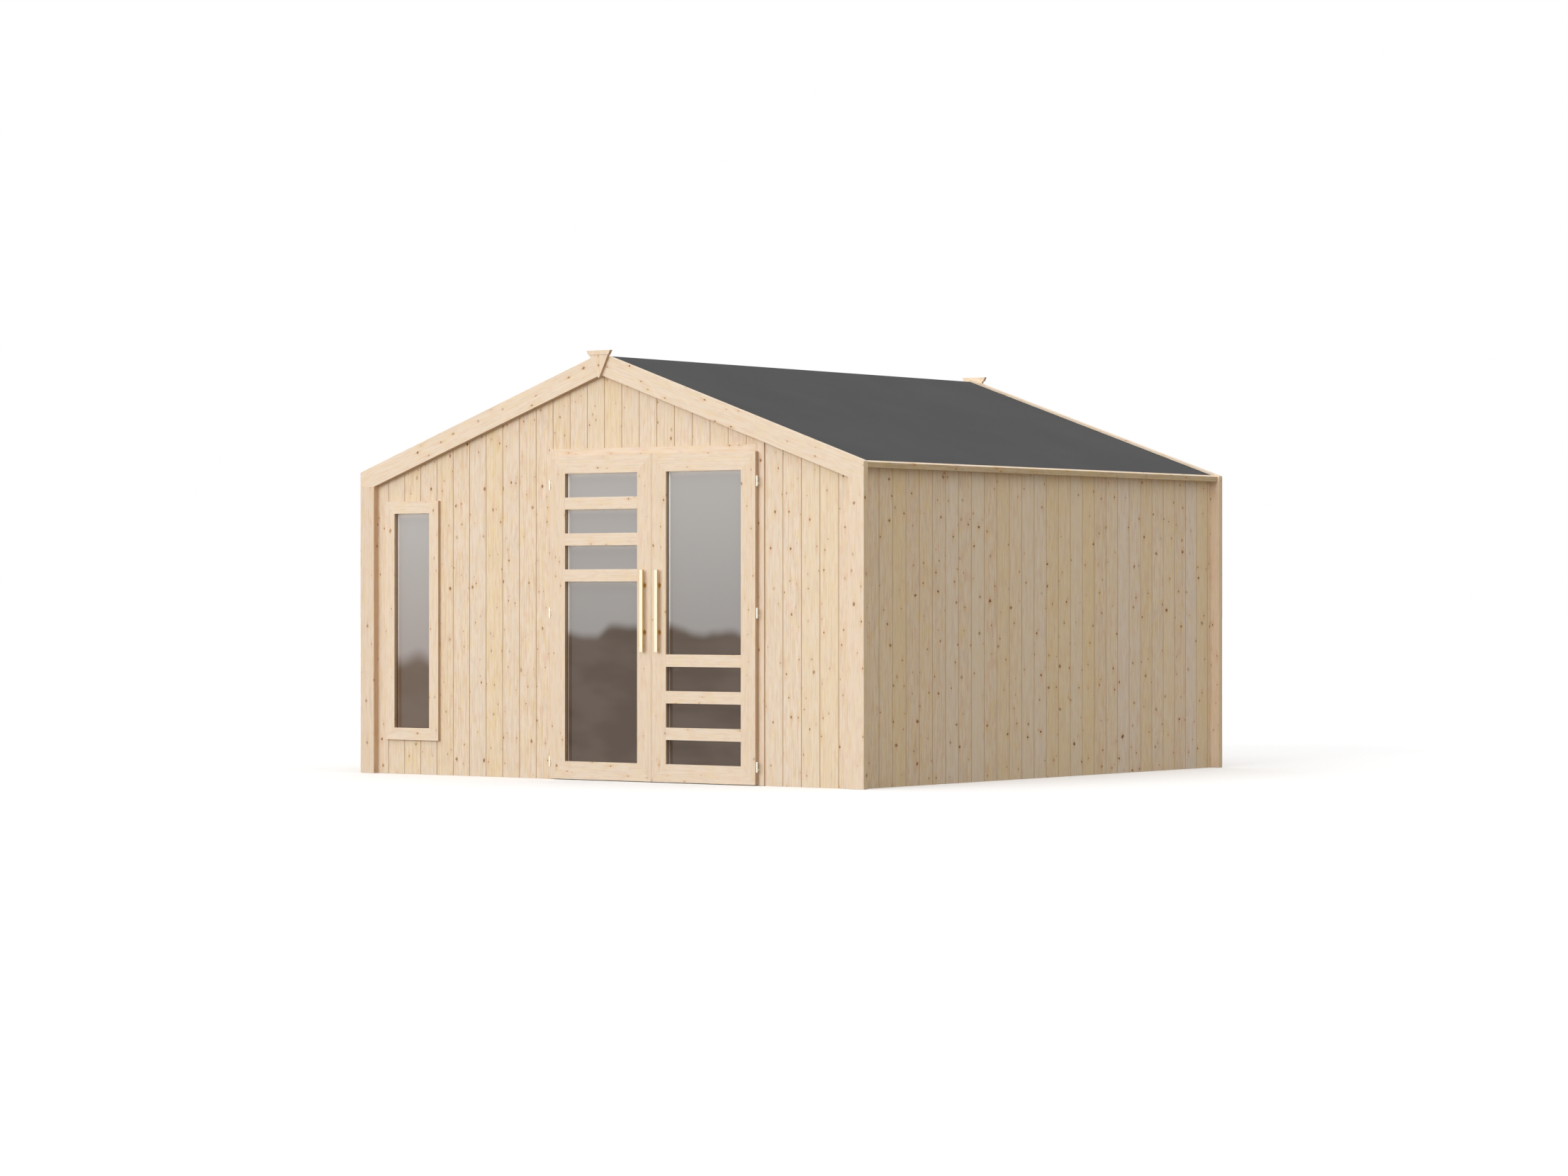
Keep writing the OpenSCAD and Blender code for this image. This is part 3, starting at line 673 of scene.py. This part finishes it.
# painted shade: the narrow sides of the surround, the posts and the header wear the browner copy
finish_where(soften("window_surround_stiles", upright_pine, glued=mitre), upright_side, across_x)
finish_where(soften("window_surround_rails", level_pine, glued=mitre), level_side, across_z)
finish_where(soften("door_posts", upright_pine, width=POST_ROUNDING, steps=4), upright_side, across_x)
finish_where(soften("door_header", level_pine), level_side, across_z)
soften("window_beads", upright_pine)

# %% [markdown]
# The two leaves are made the same way and from the same planed pine. They only start at another
# place in the pattern, so that no knot of the posts comes back on a stile beside it.

# %% Door leaves
LEAF_UPRIGHT = {"grain": "Z", "seed": 61.7, "knots": 0.8, **PLANED}
LEAF_LEVEL = {"grain": "X", "seed": 67.1, "knots": 0.8, **PLANED}
leaf_upright = pine("pine_leaf_stiles", stain=(0.975, 0.96, 0.945), **LEAF_UPRIGHT)
leaf_upright_side = pine("pine_leaf_stiles_side", stain=SIDE_SHADE_STAIN, **LEAF_UPRIGHT)
leaf_level = pine("pine_leaf_rails", **LEAF_LEVEL)
leaf_level_side = pine("pine_leaf_rails_side", stain=SIDE_SHADE_STAIN, **LEAF_LEVEL)
# painted shade: the leaves' narrow sides wear the browner copy
for side in ("left", "right"):
    finish_where(soften(side + "_leaf_stiles", leaf_upright, glued=mitre), leaf_upright_side, across_x)
    finish_where(soften(side + "_leaf_rails", leaf_level, glued=mitre), leaf_level_side, across_z)
    soften(side + "_leaf_beads", leaf_upright)

# %% [markdown]
# ## Draught strips
# A leaf needs a few millimetres of air round it to swing, and a joiner closes that gap with a strip
# of felted wood: one on each door post, behind the lip of the leaf, and one on the meeting edge.
# Each is a cube at its size and place, with its long edges rounded by a bevel in edit mode.

# %% Draught strips
STRIP_ROUNDING = 0.0008


def strip(name, body, low, high, finish):
    bpy.ops.object.select_all(action="DESELECT")
    middle = [(a + b) / 2 for a, b in zip(low, high)]
    bpy.ops.mesh.primitive_cube_add(size=1, location=middle, scale=[b - a for a, b in zip(low, high)])
    made = bpy.context.active_object
    made.name = name
    bpy.ops.object.transform_apply(location=True, rotation=True, scale=True)
    bpy.ops.object.mode_set(mode="EDIT")
    bpy.ops.mesh.select_all(action="SELECT")
    bpy.ops.mesh.bevel(offset=STRIP_ROUNDING, segments=3, affect="EDGES")
    bpy.ops.object.mode_set(mode="OBJECT")
    dress(made, finish)
    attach(made, body)
    print(name, "with", len(made.data.polygons), "faces")
    return made


# the strips on the posts wear the leaves' side pine, with its painted shade
strip("draught_strip_left", "shed", (-0.3550, -1.8088, 0.010), (-0.3480, -1.8040, 1.795), leaf_upright_side)
strip("draught_strip_right", "shed", (1.0720, -1.8088, 0.010), (1.0790, -1.8040, 1.795), leaf_upright_side)
strip("meeting_strip", "left_door_leaf", (0.3595, -1.8230, 0.006), (0.3641, -1.8130, 1.803), leaf_upright)

# %% [markdown]
# ## Roofing felt
# Felt is a bitumen sheet with crushed stone rolled into it. From a few metres it is an even dull
# grey, and up close it is a fine grain of lighter and darker specks.

# %% Felt
DARK_STONE, LIGHT_STONE, FADED = tone(63, 63, 64), tone(82, 82, 82), tone(93, 93, 92)
SPECKS, PATCHES = 900.0, 1.7       # how many specks and how many faded patches fit in a metre


def felt_finish():
    finish, tree, shader = new_finish("roofing_felt")
    place = add(tree, "TexCoord").outputs["Object"]
    crushed = {"Vector": place, "Scale": SPECKS, "Detail": 2.0, "Roughness": 0.7}
    grit = add(tree, "TexNoise", crushed).outputs["Fac"]
    cloud = add(tree, "TexNoise", {"Vector": place, "Scale": PATCHES, "Detail": 3.0}).outputs["Fac"]
    colour = blend_colour(tree, ramp(tree, grit, 0.3, 0.7), DARK_STONE, LIGHT_STONE)
    colour = blend_colour(tree, ramp(tree, cloud, 0.3, 0.7, 0.0, 0.18), colour, FADED)
    tree.links.new(colour, shader.inputs["Base Color"])
    shader.inputs["Roughness"].default_value = 0.92
    shader.inputs["Specular IOR Level"].default_value = 0.25
    bump = add(tree, "Bump", {"Strength": 0.35, "Distance": 0.0008, "Height": grit})
    tree.links.new(bump.outputs["Normal"], shader.inputs["Normal"])
    return finish


felt = felt_finish()
for side in ("left", "right"):
    dress(nodes["felt_" + side], felt)
print("felt on both slopes")

# %% [markdown]
# ## Glass
# Seen from outside on a bright day, a pane shows mostly what it reflects: light grey sky above a soft
# dark band of ground. That reflection is painted into the pane's colour from top to bottom, a painted
# reflection, and the pane is polished smooth and lets a little light through. Beside and under the
# wood that frames it, a narrow rim is painted paler: painted light against the shade of the frame.

# %% Panes
# colours of the painted reflection: bushes, earth and sky
BUSHES = tone(142, 128, 117)
LEAF_PANE = {"ground": 0.83, "blur": 0.035, "top": 1.7, "earth": tone(93, 76, 63),
             "sky_low": tone(169, 165, 163), "sky_high": tone(195, 192, 190)}
WINDOW_PANE = {"ground": 0.66, "blur": 0.06, "top": 1.5, "earth": tone(117, 97, 81),
               "sky_low": tone(180, 170, 166), "sky_high": tone(203, 200, 197)}
DIP, HILL = 0.030, 0.035           # how far the ground's edge wanders down and up, in metres
# painted light: how much paler the glass is made beside the wood, against its shade
LEFT_PAINTED_LIGHT, HEAD_PAINTED_LIGHT = 3.0, 2.4      # how much paler the glass is at its left edge and under wood
LEFT_REACH, HEAD_REACH = 0.005, 0.0075     # how far that reaches, in metres
GLASS_ROUGHNESS, GLASS_IOR, LET_THROUGH = 0.08, 1.45, 0.12


def pane_finish(name, ground, blur, earth, sky_low, sky_high, top, heads, left):
    """ground: height of the ground's edge; blur: how soft it is; top: where the sky is palest;
    heads: the undersides of the wood over each part of the pane; left: the left edge."""
    finish, tree, shader = new_finish(name)
    place = add(tree, "TexCoord")
    split = add(tree, "SeparateXYZ", {"Vector": place.outputs["Object"]})
    side, height = split.outputs["X"], split.outputs["Z"]
    # painted reflection: sky above, earth and bushes below a wavy skyline
    sky = blend_colour(tree, ramp(tree, height, ground, top, smooth=False), sky_low, sky_high)
    rise = add(tree, "TexNoise", {"W": side, "Scale": 3.4, "Detail": 1.0, "Roughness": 0.4},
               noise_dimensions="1D").outputs["Fac"]
    skyline = ramp(tree, rise, 0.3, 0.7, ground - DIP, ground + HILL)
    over = sum_up(tree, "SUBTRACT", height, skyline)
    spread = add(tree, "CombineXYZ", {"X": sum_up(tree, "MULTIPLY", side, 0.4), "Y": height}).outputs[0]
    bushes = add(tree, "TexNoise", {"Vector": spread, "Scale": 6.0, "Detail": 2.0, "Roughness": 0.45},
                 noise_dimensions="2D").outputs["Fac"]
    ground_colour = blend_colour(tree, ramp(tree, bushes, 0.3, 0.7, 0.0, 0.20), earth, BUSHES)
    colour = blend_colour(tree, ramp(tree, over, -blur, blur), ground_colour, sky)

    def painted_light_by(distance, most, reach):
        fading = falling(tree, sum_up(tree, "MULTIPLY", distance, -1 / reach))
        return sum_up(tree, "MULTIPLY", sum_up(tree, "MINIMUM", fading, 1.0), most)

    # painted light by the left edge and under each head, on the front face only
    painted_light = painted_light_by(sum_up(tree, "SUBTRACT", side, left), LEFT_PAINTED_LIGHT, LEFT_REACH)
    for head in heads:
        painted_under = painted_light_by(sum_up(tree, "SUBTRACT", head, height), HEAD_PAINTED_LIGHT, HEAD_REACH)
        painted_under = sum_up(tree, "MULTIPLY", painted_under, sum_up(tree, "LESS_THAN", height, head))
        painted_light = sum_up(tree, "MAXIMUM", painted_light, painted_under)
    facing = add(tree, "SeparateXYZ", {"Vector": place.outputs["Normal"]}).outputs["Y"]
    share = sum_up(tree, "MULTIPLY_ADD", painted_light, sum_up(tree, "LESS_THAN", facing, -0.5), 1.0)
    lit = add(tree, "CombineColor", {"Red": share, "Green": share, "Blue": share}).outputs[0]
    colour = blend_colour(tree, 1.0, colour, lit, mode="MULTIPLY")
    tree.links.new(colour, shader.inputs["Base Color"])
    shader.inputs["Roughness"].default_value = GLASS_ROUGHNESS
    shader.inputs["IOR"].default_value = GLASS_IOR
    shader.inputs["Transmission Weight"].default_value = LET_THROUGH
    return finish


LEFT_HEADS, RIGHT_HEADS = (1.706, 1.5055, 1.305, 1.1045), (1.706, 0.6365, 0.436, 0.2355)
left_glass = pane_finish("left_leaf_glass", heads=LEFT_HEADS, left=-0.2565, **LEAF_PANE)
right_glass = pane_finish("right_leaf_glass", heads=RIGHT_HEADS, left=0.4635, **LEAF_PANE)
window_glass = pane_finish("window_glass", heads=(1.498,), left=-1.553, **WINDOW_PANE)
dress(nodes["left_leaf_glass"], left_glass)
dress(nodes["right_leaf_glass"], right_glass)
dress(nodes["window_glass"], window_glass)
print("panes glazed")

# %% [markdown]
# Each pane of a leaf sits in a gasket of two parts: a black lip in front, against the wood, which is
# painted shade for the dark rebate, and a pale strip behind it that only shows as a thin light line,
# a painted highlight at the glass's edge. The gasket is one node of the model, so a copy of it is
# bisected where the two meet, and the rear part takes the pale finish.

# %% Gaskets
SEALED = -1.7998                   # depth at which the black lip ends and the pale strip begins


def gasket_finish(name, clean, dusty):
    finish, tree, shader = new_finish(name)
    place = add(tree, "TexCoord").outputs["Object"]
    dust = add(tree, "TexNoise", {"Vector": place, "Scale": 60.0, "Detail": 3.0}).outputs["Fac"]
    colour = blend_colour(tree, ramp(tree, dust, 0.35, 0.8), clean, dusty)
    tree.links.new(colour, shader.inputs["Base Color"])
    shader.inputs["Roughness"].default_value = 0.7
    return finish


# painted shade in the black lip, painted highlight in the pale strip
gasket = gasket_finish("black_gasket", tone(9, 6, 4), tone(24, 19, 16))
pale_seal_painted_highlight = gasket_finish("pale_seal_painted_highlight", tone(226, 223, 217), tone(240, 238, 233))
for side in ("left", "right"):
    node_name = side + "_leaf_gasket"
    ring = sheet_of(node_name, node_name + "_two_tone")
    bpy.ops.object.mode_set(mode="EDIT")
    bpy.ops.mesh.select_all(action="SELECT")
    bpy.ops.mesh.bisect(plane_co=(0, SEALED, 0), plane_no=(0, 1, 0))
    bpy.ops.object.mode_set(mode="OBJECT")
    dress(ring, gasket)
    finish_where(ring, pale_seal_painted_highlight, lambda at, way: at.y > SEALED and abs(way.y) < SLANTED)
    stands_for(ring, node_name)

# %% [markdown]
# Round the window the cut edge of the boards, between the surround and the glass, is given a dark
# brown: painted shade for the deep reveal. No piece is added: that edge simply takes the finish.

# %% Window seal
OPENING_X, OPENING_Z = (-1.555, -1.285), (0.264, 1.500)
EDGE_ON = 0.1                      # the cut edge looks neither to the front nor to the rear


def lines_opening(at, way):
    inside = OPENING_X[0] < at.x < OPENING_X[1] and OPENING_Z[0] < at.z < OPENING_Z[1]
    return inside and abs(way.y) < EDGE_ON


# painted shade in the window's reveal
reveal_painted_shade = gasket_finish("reveal_painted_shade", tone(112, 88, 66), tone(136, 107, 81))
finish_where(bpy.data.objects["front_wall_left_boards"], reveal_painted_shade, lines_opening)

# %% [markdown]
# ## Brass
# The handles and hinges are pale brass with a satin brushing. Brass is a metal, so its colour is
# the colour of its reflection, and a bright studio makes its front nearly white. The hinges are
# polished brighter. The sides of the bars and the short posts behind them take a darker, golden
# brass: painted shade.

# %% Brass
HAIRS = (900.0, 900.0, 12.0)       # brush marks in a metre: fine across the bar, long along it
BAR_ROUNDING = 0.0032


def brass_finish(name, body, bright, rough):
    finish, tree, shader = new_finish(name)
    place = add(tree, "TexCoord").outputs["Object"]
    brushed = add(tree, "Mapping", {"Vector": place, "Scale": HAIRS}).outputs[0]
    hair = add(tree, "TexNoise", {"Vector": brushed, "Scale": 1.0, "Detail": 2.0}).outputs["Fac"]
    colour = blend_colour(tree, ramp(tree, hair, 0.3, 0.7, 0.0, 0.6), body, bright)
    tree.links.new(colour, shader.inputs["Base Color"])
    shader.inputs["Metallic"].default_value = 1.0
    shader.inputs["Roughness"].default_value = rough
    return finish


brass = brass_finish("satin_brass", tone(252, 243, 210), tone(254, 249, 228), 0.3)
# painted shade: darker brass for the bars' sides and for the posts
brass_painted_shade_sides = brass_finish("brass_painted_shade_sides", tone(196, 154, 92), tone(218, 180, 120), 0.4)
brass_painted_shade_posts = brass_finish("brass_painted_shade_posts", tone(178, 138, 78), tone(222, 190, 132), 0.4)
bright_brass = brass_finish("bright_brass", tone(255, 252, 236), tone(255, 255, 248), 0.25)
for node_name in ("frame_hinge_halves", "left_hinge_halves", "right_hinge_halves"):
    soften(node_name, bright_brass)
for node_name in ("left_handle_posts", "right_handle_posts"):
    soften(node_name, brass_painted_shade_posts)
for node_name in ("left_handle_bar", "right_handle_bar"):
    bar = soften(node_name, brass, width=BAR_ROUNDING, steps=5)
    finish_where(bar, brass_painted_shade_sides, lambda at, way: abs(way.x) > SLANTED)

# %% [markdown]
# ## Inside the shed
# Studs, plates, beams and the underside of the roof are sawn pine, a little darker and rougher than
# the planed boards outside. They show only when the doors stand open.

# %% Framing and roof boards
SAWN = {"rough": 0.8, "stain": (0.92, 0.86, 0.80)}
ROOF_PITCH = 0.145                 # the roof boards are wider than the wall's

sawn_upright = pine("sawn_pine_studs", "Z", seed=83.0, **SAWN)
sawn_depth = pine("sawn_pine_beams", "Y", seed=89.0, **SAWN)
sawn_level = pine("sawn_pine_end_plates", "X", seed=97.0, **SAWN)
roof_boards = pine("sawn_pine_roof_boards", "Z", boards=("Y", SIDE_FIRST, ROOF_PITCH), seed=101.0,
                   stain=SAWN["stain"])
framing = {
    "front_studs": sawn_upright, "rear_studs": sawn_upright, "left_studs": sawn_upright,
    "right_studs": sawn_upright, "side_plates": sawn_depth, "ridge_beam_and_purlins": sawn_depth,
    "end_plates": sawn_level,
}
for node_name, finish in framing.items():
    soften(node_name, finish)
for side in ("left", "right"):
    dress(nodes["roof_boards_" + side], roof_boards)

# %% [markdown]
# ## Floor, light and background
# The shed stands on a plain pale floor in front of plain white. A broad soft sun comes from the front
# and a little from the left, so the door wall is bright and the long side falls into half shade,
# and a pale sky fills in the rest. The sun is kept out of mirror images, as a big white screen in
# front of a studio lamp would do, so that glass and brass show even tones.

# %% Floor
FLOOR_SIZE, FLOOR_HEIGHT = 400, -0.0005
DOORSTEP, NEAR, FAR = (0.0, -1.9, 0.0), 0.3, 5.0
NEAR_TONE, FAR_TONE = tone(124, 117, 107), tone(149, 141, 129)     # what tints the bounced light
FLOOR_GLOW = 0.08                                                  # just enough to look white


def seen_directly(tree):
    """1 for what the camera, a mirror image or a look through glass shows, 0 for light that bounces."""
    path = add(tree, "LightPath")
    seen = sum_up(tree, "MAXIMUM", path.outputs["Is Camera Ray"], path.outputs["Is Glossy Ray"])
    return sum_up(tree, "MAXIMUM", seen, path.outputs["Is Transmission Ray"])


bpy.ops.object.select_all(action="DESELECT")
bpy.ops.mesh.primitive_plane_add(size=FLOOR_SIZE, location=(0, 0, FLOOR_HEIGHT))
floor = bpy.context.active_object
floor.name = "studio_floor"
print("floor", FLOOR_SIZE, "m wide at", FLOOR_HEIGHT, "m")
paving, paving_tree, paving_shader = new_finish("studio_floor")
seen = seen_directly(paving_tree)
place = add(paving_tree, "TexCoord").outputs["Object"]
doorstep = add(paving_tree, "VectorMath", {0: place, 1: DOORSTEP}, operation="DISTANCE").outputs["Value"]
away = ramp(paving_tree, doorstep, NEAR, FAR, smooth=False)
own_tone = blend_colour(paving_tree, away, NEAR_TONE, FAR_TONE)
ground_tone = blend_colour(paving_tree, seen, own_tone, WHITE)
paving_tree.links.new(ground_tone, paving_shader.inputs["Base Color"])
paving_shader.inputs["Emission Color"].default_value = WHITE
floor_glow = sum_up(paving_tree, "MULTIPLY", seen, FLOOR_GLOW)
paving_tree.links.new(floor_glow, paving_shader.inputs["Emission Strength"])
paving_shader.inputs["Roughness"].default_value = 1.0
paving_shader.inputs["Specular IOR Level"].default_value = 0.0
dress(floor, paving)

# %% [markdown]
# The sun is a lamp whose light arrives from one direction everywhere. Its wide angle of 50 degrees
# makes it a hazy sun: its shadows are soft and melt away within a step of the shed.

# %% Soft sun
SUN_STRENGTH, SUN_WIDTH = 2.10, math.radians(50)
SUN_LEFT, SUN_UP = math.radians(8), math.radians(8)

sun = bpy.data.objects.new("soft_sun", bpy.data.lights.new("soft_sun", "SUN"))
bpy.context.scene.collection.objects.link(sun)
sun.data.energy = SUN_STRENGTH
sun.data.angle = SUN_WIDTH
sun.visible_glossy = False
flat = math.cos(SUN_UP)
beam = Vector((math.sin(SUN_LEFT) * flat, math.cos(SUN_LEFT) * flat, -math.sin(SUN_UP)))
sun.rotation_euler = beam.to_track_quat("-Z", "Y").to_euler()
print("sun", round(sun.data.energy, 2), "from", [round(v, 2) for v in -beam])

# %% [markdown]
# A pale sky that is brighter overhead than at the horizon puts soft shade under the roof trim and
# light on every upper edge, as a real sky does. What the eye and the shiny parts see is plain white.

# %% Sky
HORIZON, OVERHEAD = 0.24, 1.24     # strength of the sky's light at either end

world = bpy.data.worlds.new("pale_sky")
bpy.context.scene.world = world
world.use_nodes = True
sky_tree = world.node_tree
background = sky_tree.nodes["Background"]
shown = seen_directly(sky_tree)
direction = add(sky_tree, "TexCoord").outputs["Generated"]
upward = add(sky_tree, "SeparateXYZ", {"Vector": direction}).outputs["Z"]
level = ramp(sky_tree, upward, 0.0, 1.0, HORIZON, OVERHEAD, smooth=False)
level = sum_up(sky_tree, "MULTIPLY", level, sum_up(sky_tree, "SUBTRACT", 1.0, shown))
sky_tree.links.new(sum_up(sky_tree, "ADD", level, shown), background.inputs["Strength"])
background.inputs["Color"].default_value = WHITE
bpy.context.scene.view_settings.view_transform = "Standard"
print("sky from", HORIZON, "at the horizon to", OVERHEAD, "overhead")
